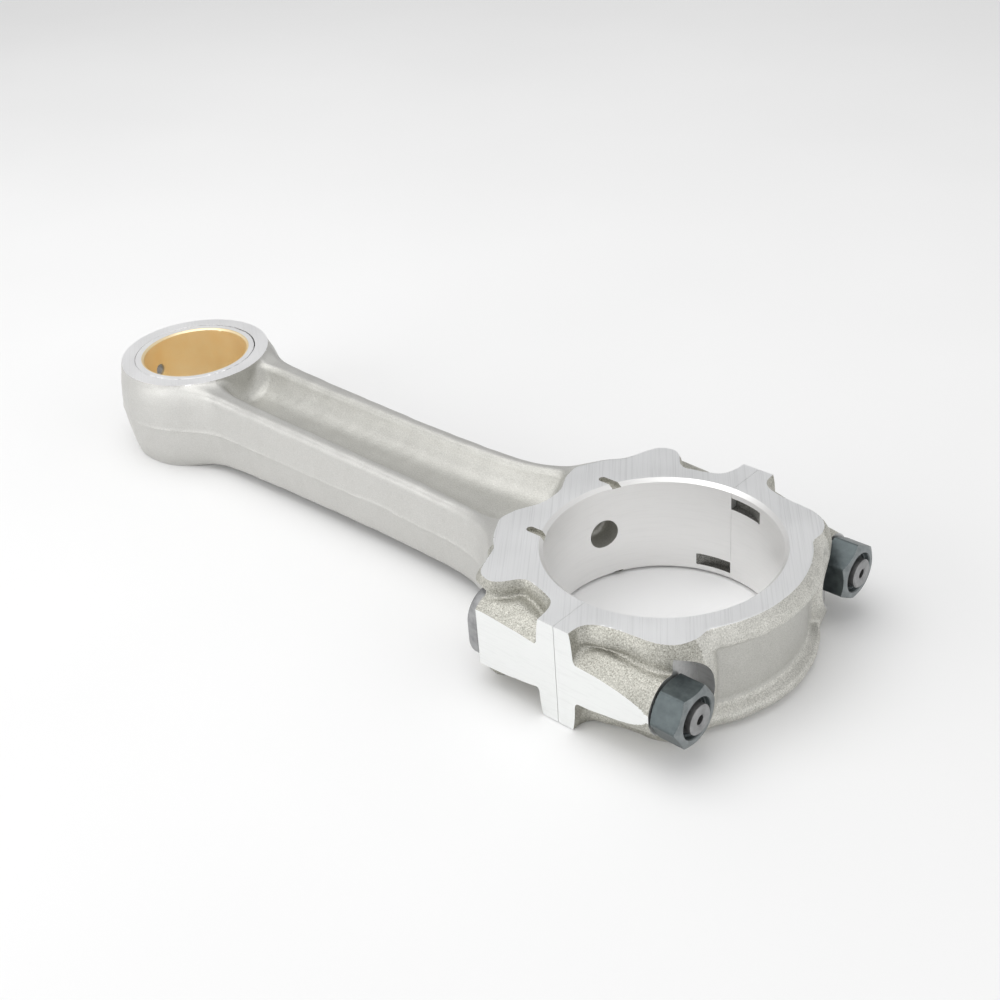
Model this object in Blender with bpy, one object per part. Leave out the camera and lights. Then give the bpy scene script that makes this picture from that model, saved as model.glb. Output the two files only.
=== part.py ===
"""Connecting rod of a small four-stroke engine, laid flat on one of its thrust faces.

Frame: +X runs from the small end to the cap, +Z runs along both bores, z = 0 is the
thrust face the rod lies on.  All lengths below are millimetres, times MM for metres.
"""
import math

import bmesh
import bpy
from mathutils import Matrix, Vector

MM = 0.001

# ---- whole rod ----------------------------------------------------------------
THICK = 29.0                 # across the ground thrust faces
MID_Z = THICK / 2            # forging parting plane, also the height of the bolts
CENTRES = 186.4              # big-end bore to small-end bore
BIG_X = 86.3                 # big-end bore axis, puts the middle of the rod at x = 0
SMALL_X = BIG_X - CENTRES
FIT_GAP = 0.3                # clearance left between pieces that touch
JOINT_GAP = FIT_GAP / 2      # half the gap at the split between rod and cap

# ---- big end ------------------------------------------------------------------
BORE_R = 30.0                # housing bore for the crankpin bearing
BORE_CHAMFER = 1.0
HALF_WIDTH = 42.7            # machined side pads stand at y = +- this
PAD_TONGUE = 4.6             # ground face runs out to the pad over this length
WALL_DRAFT = 2.6             # forged walls swell this much towards the parting plane

# ---- bolts and nuts -----------------------------------------------------------
BOLT_Y = 35.2                # bolt axes
SHANK_R = 4.4                # fitted body of the bolt
THREAD_R = 4.5
BOLT_HOLE_R = SHANK_R + FIT_GAP
HEAD_HALF_WIDTH = 7.4        # the head is a flat oblong, flush with the side pads
HEAD_HALF_HEIGHT = 9.8
HEAD_CORNER_R = 7.2
HEAD_X0 = -28.9              # outer face of the bolt head
HEAD_SEAT_X = -25.0          # machined seat in the rod shoulder
SPOT_R = 12.0                # spot-face cutter for the head seats
THREAD_X0 = 13.0
BOLT_END_X = 36.4
BOLT_END_R = 3.85
DIMPLE_R = 1.3
NUT_SEAT_X = 27.2            # machined seat in the cap
NUT_POCKET_R = 13.0
NUT_FLATS = 14.0
NUT_X0 = NUT_SEAT_X + FIT_GAP
NUT_X1 = 35.4
NUT_BORE_R = THREAD_R + FIT_GAP
NUT_CSINK_R = 5.2
NUT_TURN = {1: 0.6, 2: 29.1}  # angle of the first corner of each nut, degrees

# ---- small end ----------------------------------------------------------------
EYE_R = 23.6                 # at the ground faces
EYE_MID_R = 25.8             # at the parting plane
BUSH_OUT_R = 19.0
BUSH_IN_R = 16.5
BUSH_CHAMFER = 0.5
BUSH_RECESS = 0.3            # bush faces sit this far below the ground faces
EYE_BORE_R = BUSH_OUT_R + FIT_GAP
OIL_HOLE_R = 2.0             # through the crown of the eye and the bush
OIL_HOLE_ANGLE = 194.0       # a little off the middle of the crown
OIL_HOLE_Z = 19.3

# ---- shank --------------------------------------------------------------------
FLANGE_Z = 25.6              # top of the I-section flanges
WEB_Z = 19.0                 # floor of the channel
SHANK_DRAFT = 1.3

SQUIRT_ANGLE = 158.5         # oil pocket in the big-end bore wall
SQUIRT_R = 4.2
SQUIRT_DEPTH = 7.0
JET_R = 1.5
SLOT_Y = 14.8                # oil slots milled in the thrust faces
SLOT_HALF = 1.1
SLOT_END_X = -31.8
SLOT_DEPTH = 1.2
TANG_Z = 25.0                # bearing locating notch, cap side; the rod one is mirrored
TANG_WIDTH = 3.3
TANG_CUTTER_R = 18.8
TANG_CUTTER_Y = 12.7

ROUND_STEPS = 80


# ---- materials and scene housekeeping -------------------------------------------
def clear_scene():
    for old in list(bpy.data.objects):
        bpy.data.objects.remove(old, do_unlink=True)


def metal(name, colour, roughness):
    mat = bpy.data.materials.new(name)
    mat.use_nodes = True
    shader = mat.node_tree.nodes["Principled BSDF"]
    shader.inputs["Base Color"].default_value = (*colour, 1.0)
    shader.inputs["Metallic"].default_value = 1.0
    shader.inputs["Roughness"].default_value = roughness
    return mat


def collection(name):
    made = bpy.data.collections.new(name)
    bpy.context.scene.collection.children.link(made)
    return made


def solid_from(name, bm, home, mat=None, at=(0.0, 0.0, 0.0)):
    """Turn a bmesh drawn in millimetres into an object whose origin is at `at`."""
    bmesh.ops.recalc_face_normals(bm, faces=bm.faces)
    if bm.calc_volume(signed=True) < 0:
        bmesh.ops.reverse_faces(bm, faces=bm.faces)
    bmesh.ops.transform(bm, matrix=Matrix.Scale(MM, 4), verts=bm.verts)
    mesh = bpy.data.meshes.new(name)
    bm.to_mesh(mesh)
    bm.free()
    obj = bpy.data.objects.new(name, mesh)
    obj.location = Vector(at) * MM
    home.objects.link(obj)
    if mat:
        mesh.materials.append(mat)
    return obj


def cutter(name, bm, at=(0.0, 0.0, 0.0)):
    obj = solid_from(name, bm, CUTTERS, None, at)
    obj.hide_render = True
    obj.display_type = "WIRE"
    return obj


def boolean(obj, other, operation):
    step = obj.modifiers.new(operation.title() + " " + other.name, "BOOLEAN")
    step.operation = operation
    step.solver = "EXACT"
    step.object = other


def cut(obj, *others):
    for other in others:
        boolean(obj, other, "DIFFERENCE")


def join(obj, *others):
    for other in others:
        boolean(obj, other, "UNION")


# ---- shape builders ---------------------------------------------------------------
def offset_outline(points, distance):
    """Move every corner of a counter-clockwise outline inwards by `distance`."""
    moved = []
    count = len(points)
    for i in range(count):
        here = Vector(points[i])
        before = (here - Vector(points[i - 1])).normalized()
        after = (Vector(points[(i + 1) % count]) - here).normalized()
        inward = Vector((-before.y - after.y, before.x + after.x))
        bend = max(0.5, 1.0 + before.dot(after))
        moved.append(here + inward * (distance / bend))
    return moved


def stacked_prism(outline, levels):
    """Closed body through copies of one outline; levels are (height, inset)."""
    bm = bmesh.new()
    rings = []
    for height, inset in levels:
        ring = [bm.verts.new((p[0], p[1], height)) for p in offset_outline(outline, inset)]
        rings.append(ring)
    count = len(outline)
    for low, high in zip(rings, rings[1:]):
        for i in range(count):
            j = (i + 1) % count
            bm.faces.new((low[i], low[j], high[j], high[i]))
    bm.faces.new(list(reversed(rings[0])))
    bm.faces.new(rings[-1])
    return bm


def loft(sections):
    """Closed body through equal-length loops of 3-D points."""
    bm = bmesh.new()
    loops = [[bm.verts.new(p) for p in section] for section in sections]
    count = len(sections[0])
    for one, two in zip(loops, loops[1:]):
        for i in range(count):
            j = (i + 1) % count
            bm.faces.new((one[i], one[j], two[j], two[i]))
    bm.faces.new(list(reversed(loops[0])))
    bm.faces.new(loops[-1])
    return bm


def turned(profile, steps=ROUND_STEPS, centre=(0.0, 0.0), axis="Z", phase=0.5):
    """Body of revolution from (radius, height) pairs, about Z or about X."""
    bm = bmesh.new()
    rings = []
    for radius, height in profile:
        if radius == 0:
            rings.append([bm.verts.new((0.0, 0.0, height))])
            continue
        ring = []
        for i in range(steps):
            angle = 2 * math.pi * (i + phase) / steps
            ring.append(bm.verts.new((radius * math.cos(angle), radius * math.sin(angle), height)))
        rings.append(ring)
    pairs = list(zip(rings, rings[1:]))
    if profile[0][0] != 0:
        pairs.append((rings[-1], rings[0]))
    for one, two in pairs:
        for i in range(steps):
            j = (i + 1) % steps
            if len(one) == 1:
                bm.faces.new((one[0], two[i], two[j]))
            elif len(two) == 1:
                bm.faces.new((one[j], one[i], two[0]))
            else:
                bm.faces.new((one[i], one[j], two[j], two[i]))
    if axis == "X":
        turn = Matrix.Rotation(math.radians(90), 4, "Y")
        bmesh.ops.transform(bm, matrix=turn, verts=bm.verts)
    shift = Vector((centre[0], centre[1], 0.0)) if axis == "Z" else Vector((0.0, centre[0], centre[1]))
    bmesh.ops.translate(bm, vec=shift, verts=bm.verts)
    return bm


def rod_along_x(radius, x0, x1, y, z, steps=48):
    return turned([(0, x0), (radius, x0), (radius, x1), (0, x1)], steps, (y, z), "X")


def block(x0, x1, y0, y1, z0, z1):
    bm = bmesh.new()
    bmesh.ops.create_cube(bm, size=1.0)
    bmesh.ops.scale(bm, vec=(x1 - x0, y1 - y0, z1 - z0), verts=bm.verts)
    middle = ((x0 + x1) / 2, (y0 + y1) / 2, (z0 + z1) / 2)
    bmesh.ops.translate(bm, vec=middle, verts=bm.verts)
    return bm


def smooth_curve(knots, x):
    """Value at x of a flowing curve through (x, value) knots, level at both ends."""
    last = len(knots) - 1
    slopes = [0.0]
    for i in range(1, last):
        run = knots[i + 1][0] - knots[i - 1][0]
        slopes.append((knots[i + 1][1] - knots[i - 1][1]) / run)
    slopes.append(0.0)
    for i in range(last):
        (xa, va), (xb, vb) = knots[i], knots[i + 1]
        if xa <= x <= xb:
            run = xb - xa
            t = (x - xa) / run
            start = (2 * t**3 - 3 * t**2 + 1) * va + (t**3 - 2 * t**2 + t) * run * slopes[i]
            end = (3 * t**2 - 2 * t**3) * vb + (t**3 - t**2) * run * slopes[i + 1]
            return start + end
    return knots[0][1] if x < knots[0][0] else knots[-1][1]


def mirrored(half):
    """Full counter-clockwise outline from its +Y half, listed from +X to -X."""
    other = [(x, -y) for x, y in reversed(half) if y > 0]
    return list(half) + other


# ---- scene ------------------------------------------------------------------------
clear_scene()
PARTS = collection("connecting_rod")
CUTTERS = collection("cutters")
FORGED = metal("forged_steel", (0.56, 0.55, 0.52), 0.45)
CAP_STEEL = metal("forged_steel_cap", (0.55, 0.54, 0.50), 0.45)
BRONZE = metal("bronze", (0.78, 0.52, 0.22), 0.30)
BOLT_STEEL = metal("oiled_bolt_steel", (0.20, 0.21, 0.22), 0.38)
OXIDE = metal("black_oxide", (0.07, 0.085, 0.09), 0.35)

BIG = (BIG_X, 0.0, 0.0)


# ---- rod forging ------------------------------------------------------------------
# Ground face of the big end, rod side: joint, pad tongue, bay beside the bolt boss,
# shoulder over the bolt head, then the arc that closes the channel.
ROD_FACE = [
    (6.0, 0.0), (6.0, 44.5), (-PAD_TONGUE, 44.5), (-4.9, 40.5), (-5.6, 37.2), (-7.0, 35.0),
    (-9.4, 34.0), (-12.2, 33.1), (-14.4, 32.6), (-16.6, 32.2), (-18.6, 33.1), (-20.2, 35.0),
    (-21.6, 36.6), (-23.6, 37.8), (-26.0, 37.7), (-28.2, 36.7), (-29.6, 34.6), (-30.3, 32.0),
    (-30.5, 28.8), (-31.0, 26.4), (-32.6, 24.4), (-34.8, 22.6), (-36.6, 20.4), (-38.3, 18.0),
    (-39.5, 15.6), (-39.9, 13.0), (-39.5, 10.5), (-38.2, 7.6), (-36.6, 4.2), (-36.2, 0.0),
]
WALL_LEVELS = [
    (0.0, 0.0), (1.2, -0.5), (5.0, -1.7), (10.0, -WALL_DRAFT + 0.3), (MID_Z, -WALL_DRAFT),
    (THICK - 10.0, -WALL_DRAFT + 0.3), (THICK - 5.0, -1.7), (THICK - 1.2, -0.5), (THICK, 0.0),
]


def i_section(x):
    """Closed (x, y, z) loop of the I-beam at station x, millimetres from the big end."""
    half = smooth_curve(SHANK_HALF, x)
    top = smooth_curve(SHANK_TOP, x)
    floor = WEB_Z
    inner = smooth_curve(CHANNEL_HALF, x)
    quarter = [
        (half + SHANK_DRAFT, MID_Z), (half + 0.25, top - 2.2), (half - 0.45, top - 0.6),
        (half - 1.3, top), (inner + 1.0, top), (inner, top - 0.9),
        (inner - 0.9, floor + 3.2), (inner - 2.4, floor + 1.1), (inner - 4.6, floor + 0.1),
        (0.0, floor),
    ]
    right_top = quarter
    left_top = [(-y, z) for y, z in reversed(quarter[:-1])]
    left_low = [(-y, THICK - z) for y, z in quarter[1:]]
    right_low = [(y, THICK - z) for y, z in reversed(quarter[1:-1])]
    return [(x, y, z) for y, z in right_top + left_top + left_low + right_low]


SHANK_HALF = [
    (-190.0, 19.7), (-176.0, 18.4), (-168.0, 16.4), (-158.0, 15.1), (-140.0, 14.6),
    (-112.0, 14.3), (-86.0, 14.3), (-66.0, 14.8), (-56.0, 15.5), (-49.0, 16.9),
    (-42.0, 20.4), (-36.0, 25.2), (-30.5, 30.0), (-26.0, 33.0), (-18.0, 34.0),
]
CHANNEL_HALF = [
    (-190.0, 6.0), (-175.0, 6.6), (-164.0, 8.0), (-158.0, 8.9), (-150.0, 9.7),
    (-130.0, 9.9), (-100.0, 9.6), (-80.0, 9.8), (-65.0, 10.7), (-57.0, 11.8),
    (-49.0, 13.0), (-43.0, 14.1), (-38.0, 15.8), (-30.0, 18.5), (-20.0, 20.0),
]
SHANK_TOP = [
    (-200.0, THICK - 0.9), (-176.0, THICK - 1.0), (-168.0, THICK - 1.5), (-160.0, FLANGE_Z + 1.1),
    (-150.0, FLANGE_Z + 0.3), (-138.0, FLANGE_Z), (-100.0, FLANGE_Z - 0.1), (-64.0, FLANGE_Z),
    (-54.0, FLANGE_Z + 0.4), (-46.0, FLANGE_Z + 1.2), (-38.0, THICK - 1.0), (-30.0, THICK - 0.6),
    (-18.0, THICK - 0.5),
]
stations = [-180.0, -172.0] + [-166.0 + 4.0 * i for i in range(34)]
shank = cutter("shank_body", loft([i_section(x) for x in stations]), BIG)

eye_profile = [
    (EYE_BORE_R, 0.0), (EYE_R, 0.0), (EYE_R + 0.9, 4.0), (EYE_R + 1.8, 10.0), (EYE_MID_R, MID_Z),
    (EYE_R + 1.8, THICK - 10.0), (EYE_R + 0.9, THICK - 4.0), (EYE_R, THICK), (EYE_BORE_R, THICK),
]
eye_body = [(0, 0.0)] + eye_profile[1:-1] + [(0, THICK)]
eye = cutter("eye_body", turned(eye_body, ROUND_STEPS, (-CENTRES, 0.0)), BIG)


def boss(x0, x1, r0, r1, side, steps=32):
    """Forged boss round a bolt, slightly conical."""
    return turned([(0, x0), (r0, x0), (r1, x1), (0, x1)], steps, (side * (BOLT_Y - 0.6), MID_Z), "X")


rod = solid_from(
    "rod_forging", stacked_prism(mirrored(ROD_FACE), WALL_LEVELS), PARTS, FORGED, BIG
)
join(rod, shank, eye)
for side, tag in ((1, "left"), (-1, "right")):
    join(rod, cutter("rod_boss_" + tag, boss(-26.0, 4.0, 11.2, 9.6, side), BIG))

far = 60.0
cut(rod, cutter("joint_cut_rod", block(-JOINT_GAP, far, -far, far, -5, THICK + 5), BIG))
for side, tag in ((1, "left"), (-1, "right")):
    edge = sorted((side * HALF_WIDTH, side * far))
    cut(rod, cutter("side_pad_" + tag, block(-far, far, edge[0], edge[1], -5, THICK + 5), BIG))
    seat = rod_along_x(SPOT_R, -44.0, HEAD_SEAT_X, side * BOLT_Y, MID_Z)
    cut(rod, cutter("head_spot_face_" + tag, seat, BIG))
    hole = rod_along_x(BOLT_HOLE_R, -40.0, far, side * BOLT_Y, MID_Z, 32)
    cut(rod, cutter("bolt_hole_" + tag, hole, BIG))


def chamfered_bore(radius, chamfer, centre):
    reach = 3.0
    return turned([
        (0, -reach), (radius + chamfer + reach, -reach), (radius, chamfer),
        (radius, THICK - chamfer), (radius + chamfer + reach, THICK + reach), (0, THICK + reach),
    ], ROUND_STEPS, centre)


big_bore = cutter("big_bore", chamfered_bore(BORE_R, BORE_CHAMFER, (0.0, 0.0)), BIG)
small_bore = cutter("small_bore", chamfered_bore(EYE_BORE_R, 0.35, (-CENTRES, 0.0)), BIG)


def oil_hole_body():
    """Radial drilling in the eye, starting inside the bush bore."""
    bm = turned([
        (0, 8.0), (OIL_HOLE_R, 8.0), (OIL_HOLE_R, EYE_MID_R + 3.0), (0, EYE_MID_R + 3.0),
    ], 24, (0.0, 0.0), "X")
    turn = Matrix.Rotation(math.radians(OIL_HOLE_ANGLE), 4, "Z")
    bmesh.ops.transform(bm, matrix=turn, verts=bm.verts)
    bmesh.ops.translate(bm, vec=(-CENTRES, 0.0, OIL_HOLE_Z), verts=bm.verts)
    return bm


crown_hole = cutter("crown_oil_hole", oil_hole_body(), BIG)
cut(rod, big_bore, small_bore, crown_hole)


def squirt_body():
    """Oil pocket in the bore wall with a fine jet drilled on through the shoulder."""
    length = 26.0
    start = BORE_R - 2.0
    bm = turned([
        (0, start), (SQUIRT_R, start), (SQUIRT_R, BORE_R + SQUIRT_DEPTH - 2.0),
        (JET_R, BORE_R + SQUIRT_DEPTH - 0.6), (JET_R, BORE_R + length), (0, BORE_R + length),
    ], 32, (0.0, 0.0), "X")
    turn = Matrix.Rotation(math.radians(SQUIRT_ANGLE), 4, "Z")
    bmesh.ops.transform(bm, matrix=turn, verts=bm.verts)
    bmesh.ops.translate(bm, vec=(0.0, 0.0, MID_Z), verts=bm.verts)
    return bm


cut(rod, cutter("oil_squirt", squirt_body(), BIG))


def slot(side, z0, z1):
    """Round-ended oil slot running from the bore out along -X."""
    count = 8
    outline = [(-20.0, -SLOT_HALF), (-20.0, SLOT_HALF)]
    for i in range(count + 1):
        angle = math.pi / 2 + math.pi * i / count
        end = SLOT_END_X + SLOT_HALF
        outline.append((end + SLOT_HALF * math.cos(angle), SLOT_HALF * math.sin(angle)))
    outline = [(x, y + side * SLOT_Y) for x, y in outline]
    return stacked_prism(outline, [(z0, 0.0), (z1, 0.0)])


for side, tag in ((1, "left"), (-1, "right")):
    cut(rod, cutter("slot_top_" + tag, slot(side, THICK - SLOT_DEPTH, THICK + 2.0), BIG))
    cut(rod, cutter("slot_bottom_" + tag, slot(side, -2.0, SLOT_DEPTH), BIG))


def tang_notch(middle):
    return turned([
        (0, middle - TANG_WIDTH / 2), (TANG_CUTTER_R, middle - TANG_WIDTH / 2),
        (TANG_CUTTER_R, middle + TANG_WIDTH / 2), (0, middle + TANG_WIDTH / 2),
    ], 64, (0.0, TANG_CUTTER_Y))


cut(rod, cutter("tang_notch_rod", tang_notch(THICK - TANG_Z), BIG))


# ---- cap ----------------------------------------------------------------------------
# Ring of the cap: two flanges round a recessed web.
CAP_FACE_R = 36.2
CAP_FLANGE_R = 39.6
CAP_WEB_R = 36.3
lower = [
    (CAP_FACE_R, 0.0), (CAP_FLANGE_R - 2.0, 0.6), (CAP_FLANGE_R - 0.6, 1.6), (CAP_FLANGE_R, 3.0),
    (CAP_FLANGE_R - 0.3, 3.9), (CAP_FLANGE_R - 1.2, 4.6), (CAP_WEB_R + 0.9, 5.4),
    (CAP_WEB_R + 0.2, 6.2), (CAP_WEB_R, 7.2),
]
upper = [(r, THICK - z) for r, z in reversed(lower)]
cap_ring = turned([(0, 0.0)] + lower + upper + [(0, THICK)])

# Ground face of the cap from the joint round to where the ring takes over.
CAP_FACE = [
    (20.0, 0.0), (26.0, 21.0), (29.0, 23.2), (29.3, 25.6), (28.6, 28.2), (27.4, 30.4),
    (25.4, 32.2), (22.4, 33.6), (18.4, 34.2), (14.0, 34.4), (11.0, 34.3), (8.4, 35.2),
    (6.2, 37.1), (4.9, 39.2), (4.4, 44.5), (-6.0, 44.5), (-6.0, 0.0),
]
cap = solid_from("bearing_cap", cap_ring, PARTS, CAP_STEEL, BIG)
join(cap, cutter("cap_shoulders", stacked_prism(mirrored(CAP_FACE), WALL_LEVELS), BIG))
for side, tag in ((1, "left"), (-1, "right")):
    join(cap, cutter("cap_boss_" + tag, boss(-4.0, 33.0, 9.9, 9.2, side), BIG))
cut(cap, cutter("joint_cut_cap", block(-far, JOINT_GAP, -far, far, -5, THICK + 5), BIG))
for side, tag in ((1, "left"), (-1, "right")):
    edge = sorted((side * HALF_WIDTH, side * far))
    cut(cap, cutter("cap_pad_" + tag, block(-far, far, edge[0], edge[1], -5, THICK + 5), BIG))
    pocket = rod_along_x(NUT_POCKET_R, NUT_SEAT_X, far, side * BOLT_Y, MID_Z)
    cut(cap, cutter("nut_spot_face_" + tag, pocket, BIG))
    hole = rod_along_x(BOLT_HOLE_R + 0.1, -40.0, far, side * BOLT_Y, MID_Z, 32)
    cut(cap, cutter("cap_bolt_hole_" + tag, hole, BIG))
cut(cap, big_bore, cutter("tang_notch_cap", tang_notch(TANG_Z), BIG))


# ---- bush ---------------------------------------------------------------------------
bush_profile = [
    (BUSH_IN_R + BUSH_CHAMFER, BUSH_RECESS), (BUSH_OUT_R - BUSH_CHAMFER, BUSH_RECESS),
    (BUSH_OUT_R, BUSH_RECESS + 2 * BUSH_CHAMFER), (BUSH_OUT_R, THICK - BUSH_RECESS - 2 * BUSH_CHAMFER),
    (BUSH_OUT_R - BUSH_CHAMFER, THICK - BUSH_RECESS), (BUSH_IN_R + BUSH_CHAMFER, THICK - BUSH_RECESS),
    (BUSH_IN_R, THICK - BUSH_RECESS - BUSH_CHAMFER), (BUSH_IN_R, BUSH_RECESS + BUSH_CHAMFER),
]
bush = solid_from(
    "small_end_bush", turned(bush_profile, ROUND_STEPS), PARTS, BRONZE, (SMALL_X, 0.0, 0.0)
)
cut(bush, crown_hole)


# ---- bolts --------------------------------------------------------------------------
def bolt_body():
    """Fitted body and thread of a bolt along +X, measured from the big-end bore axis."""
    return turned([
        (0, HEAD_X0 + 1.0), (SHANK_R, HEAD_X0 + 1.0), (SHANK_R, THREAD_X0 - 1.0),
        (THREAD_R - 0.6, THREAD_X0), (THREAD_R, THREAD_X0 + 1.0),
        (THREAD_R, BOLT_END_X - 0.7), (BOLT_END_R, BOLT_END_X),
        (DIMPLE_R, BOLT_END_X), (0, BOLT_END_X - 1.2),
    ], 40, (0.0, 0.0), "X")


def send_z_to_x(bm):
    """Turn a body drawn upwards along Z so that it points along X (X to Y, Y to Z)."""
    turn = Matrix(((0, 0, 1, 0), (1, 0, 0, 0), (0, 1, 0, 0), (0, 0, 0, 1)))
    bmesh.ops.transform(bm, matrix=turn, verts=bm.verts)
    return bm


def head_outline():
    """Oblong with rounded corners, listed counter-clockwise in (y, z)."""
    steps = 6
    reach_y = HEAD_HALF_WIDTH - HEAD_CORNER_R
    reach_z = HEAD_HALF_HEIGHT - HEAD_CORNER_R
    corners = ((1, 1, 0), (-1, 1, 90), (-1, -1, 180), (1, -1, 270))
    outline = []
    for sy, sz, start in corners:
        for i in range(steps + 1):
            angle = math.radians(start + 90 * i / steps)
            y = sy * reach_y + HEAD_CORNER_R * math.cos(angle)
            z = sz * reach_z + HEAD_CORNER_R * math.sin(angle)
            outline.append((y, z))
    return outline


def bolt_head():
    under = HEAD_SEAT_X - FIT_GAP
    levels = [(HEAD_X0, 0.9), (HEAD_X0 + 0.3, 0.3), (HEAD_X0 + 0.9, 0.0), (under, 0.0)]
    return send_z_to_x(stacked_prism(head_outline(), levels))


for number, side in ((1, -1), (2, 1)):
    axis_point = (BIG_X, side * BOLT_Y, MID_Z)
    bolt = solid_from("rod_bolt_%d" % number, bolt_body(), PARTS, BOLT_STEEL, axis_point)
    join(bolt, cutter("bolt_head_%d" % number, bolt_head(), axis_point))


# ---- nuts ---------------------------------------------------------------------------
def hexagon(first_corner):
    corner_r = NUT_FLATS / math.sqrt(3)
    corners = []
    for i in range(6):
        angle = math.radians(first_corner + 60 * i)
        corners.append((corner_r * math.cos(angle), corner_r * math.sin(angle)))
    return corners


def nut_body(first_corner):
    """Hexagon prism along +X, from the seat (x = 0) outwards."""
    return send_z_to_x(stacked_prism(hexagon(first_corner), [(0.0, 0.0), (NUT_X1 - NUT_X0, 0.0)]))


def nut_barrel():
    """Body of revolution that rounds the hexagon corners at both faces."""
    height = NUT_X1 - NUT_X0
    face_r = NUT_FLATS / 2 - 0.35
    wide = NUT_FLATS
    return turned([
        (0, 0.0), (face_r + 0.3, 0.0), (wide, (wide - face_r) * 0.5),
        (wide, height - (wide - face_r) * 0.62), (face_r, height), (0, height),
    ], 64, (0.0, 0.0), "X")


def nut_bore():
    height = NUT_X1 - NUT_X0
    lead = NUT_CSINK_R - NUT_BORE_R
    return turned([
        (0, -1.0), (NUT_CSINK_R + 1.0, -1.0), (NUT_BORE_R, lead), (NUT_BORE_R, height - lead),
        (NUT_CSINK_R + 1.0, height + 1.0), (0, height + 1.0),
    ], 48, (0.0, 0.0), "X")


for number, side in ((1, -1), (2, 1)):
    seat = (BIG_X + NUT_X0, side * BOLT_Y, MID_Z)
    nut = solid_from("cap_nut_%d" % number, nut_body(NUT_TURN[number]), PARTS, OXIDE, seat)
    boolean(nut, cutter("nut_barrel_%d" % number, nut_barrel(), seat), "INTERSECT")
    cut(nut, cutter("nut_bore_%d" % number, nut_bore(), seat))

for obj in PARTS.objects:
    obj.data.shade_smooth()
    obj.data.set_sharp_from_angle(angle=math.radians(28))
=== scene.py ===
"""Looks of the connecting rod: finer forgings, threaded bolts and nuts, metals, light, camera."""
import math

import bmesh
import bpy
import numpy as np
from mathutils import Matrix, Vector


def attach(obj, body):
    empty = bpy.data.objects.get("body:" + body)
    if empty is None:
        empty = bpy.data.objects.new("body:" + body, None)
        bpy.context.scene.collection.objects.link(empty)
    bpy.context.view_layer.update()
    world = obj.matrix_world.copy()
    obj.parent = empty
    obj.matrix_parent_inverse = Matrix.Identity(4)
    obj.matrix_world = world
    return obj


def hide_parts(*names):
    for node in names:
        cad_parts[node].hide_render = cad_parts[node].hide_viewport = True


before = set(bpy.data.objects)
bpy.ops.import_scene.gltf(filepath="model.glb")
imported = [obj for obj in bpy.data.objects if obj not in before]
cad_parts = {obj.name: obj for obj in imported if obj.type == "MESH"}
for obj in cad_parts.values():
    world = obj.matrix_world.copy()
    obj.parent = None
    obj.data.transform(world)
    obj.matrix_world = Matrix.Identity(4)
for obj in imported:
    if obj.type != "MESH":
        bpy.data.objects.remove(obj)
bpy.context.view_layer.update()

# ---------------------------------------------------------------------------------------
# sizes in millimetres; fields measure x from the big-end axis and z from the parting plane
# ---------------------------------------------------------------------------------------
MM = 0.001
THICK = 29.0                 # across the ground thrust faces
MID = THICK / 2
CENTRES = 186.4              # big-end bore to small-end bore
EYE_X = -CENTRES
BIG_X = 86.3                 # big-end axis in the frame
BORE_R = 30.0
BORE_CHAMFER = 1.0
EYE_BORE_R = 19.3
EYE_BORE_CHAMFER = 0.1
HALF_WIDTH = 42.7            # milled side pads
SPLIT_GAP = 0.03             # half the gap between rod and cap
PAD_GAP = 0.07               # the same out on the pads

# the CAD box, which the fine meshes stay inside
BOX_X = 212.1                # crown of the eye
BOX_Y = 43.2                 # corner of a nut
CAP_END_X = 39.5
INSIDE = 0.01

# bolts and nuts
BOLT_Y = 35.2
ROD_HOLE_R = 4.5
CAP_HOLE_R = 4.6
HEAD_SEAT_X = -25.0
HEAD_SEAT_R = 12.0           # spot-face cutter
NUT_SEAT_X = 27.2
NUT_POCKET_R = 11.7
NUT_X0 = 27.5
NUT_X1 = 35.4
PITCH = 1.0

# bearing notches, oil slots and drillings
TANG_Y = 18.0                # axis of the cutter that made the notches
TANG_R = 14.3
TANG_HALF = 1.75
ROD_TANG_Z = 4.2 - MID
CAP_TANG_Z = 24.8 - MID
SLOT_Y = 14.8
SLOT_HALF = 1.1
SLOT_END_X = -31.8
SLOT_FLOOR = 13.3
OIL_Z = 4.8                  # drilling in the crown of the eye
OIL_R = 1.9
OIL_AT = math.radians(194.0)
SQUIRT_AT = math.radians(158.5)
SQUIRT_R = 4.2               # oil pocket in the big-end bore
SQUIRT_END = 36.6
JET_R = 1.5
JET_END = 60.0

# grid step of the fine meshes
STEP = 0.46
SIN_45 = 0.7071

# finishes that a forging's faces carry, with painted shade in the notches and painted light on the
# cap flange and eye ring, in the order of its material slots
(FORGED_SKIN, BLASTED_SKIN, GROUND_FACE, MILLED_PAD, HONED_BORE, MILLED_SEAT, CHANNEL_SKIN,
 GROUND_RING, CUT_NOTCH, FLANGE_SKIN) = range(10)


# ---------------------------------------------------------------------------------------
# numbers into shapes
# ---------------------------------------------------------------------------------------
def smin(a, b, k):
    """Lower of two fields, blended over k."""
    h = np.clip(0.5 + 0.5 * (b - a) / k, 0.0, 1.0)
    return b * (1 - h) + a * h - k * h * (1 - h)


def smax(a, b, k):
    return -smin(-a, -b, k)


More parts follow.
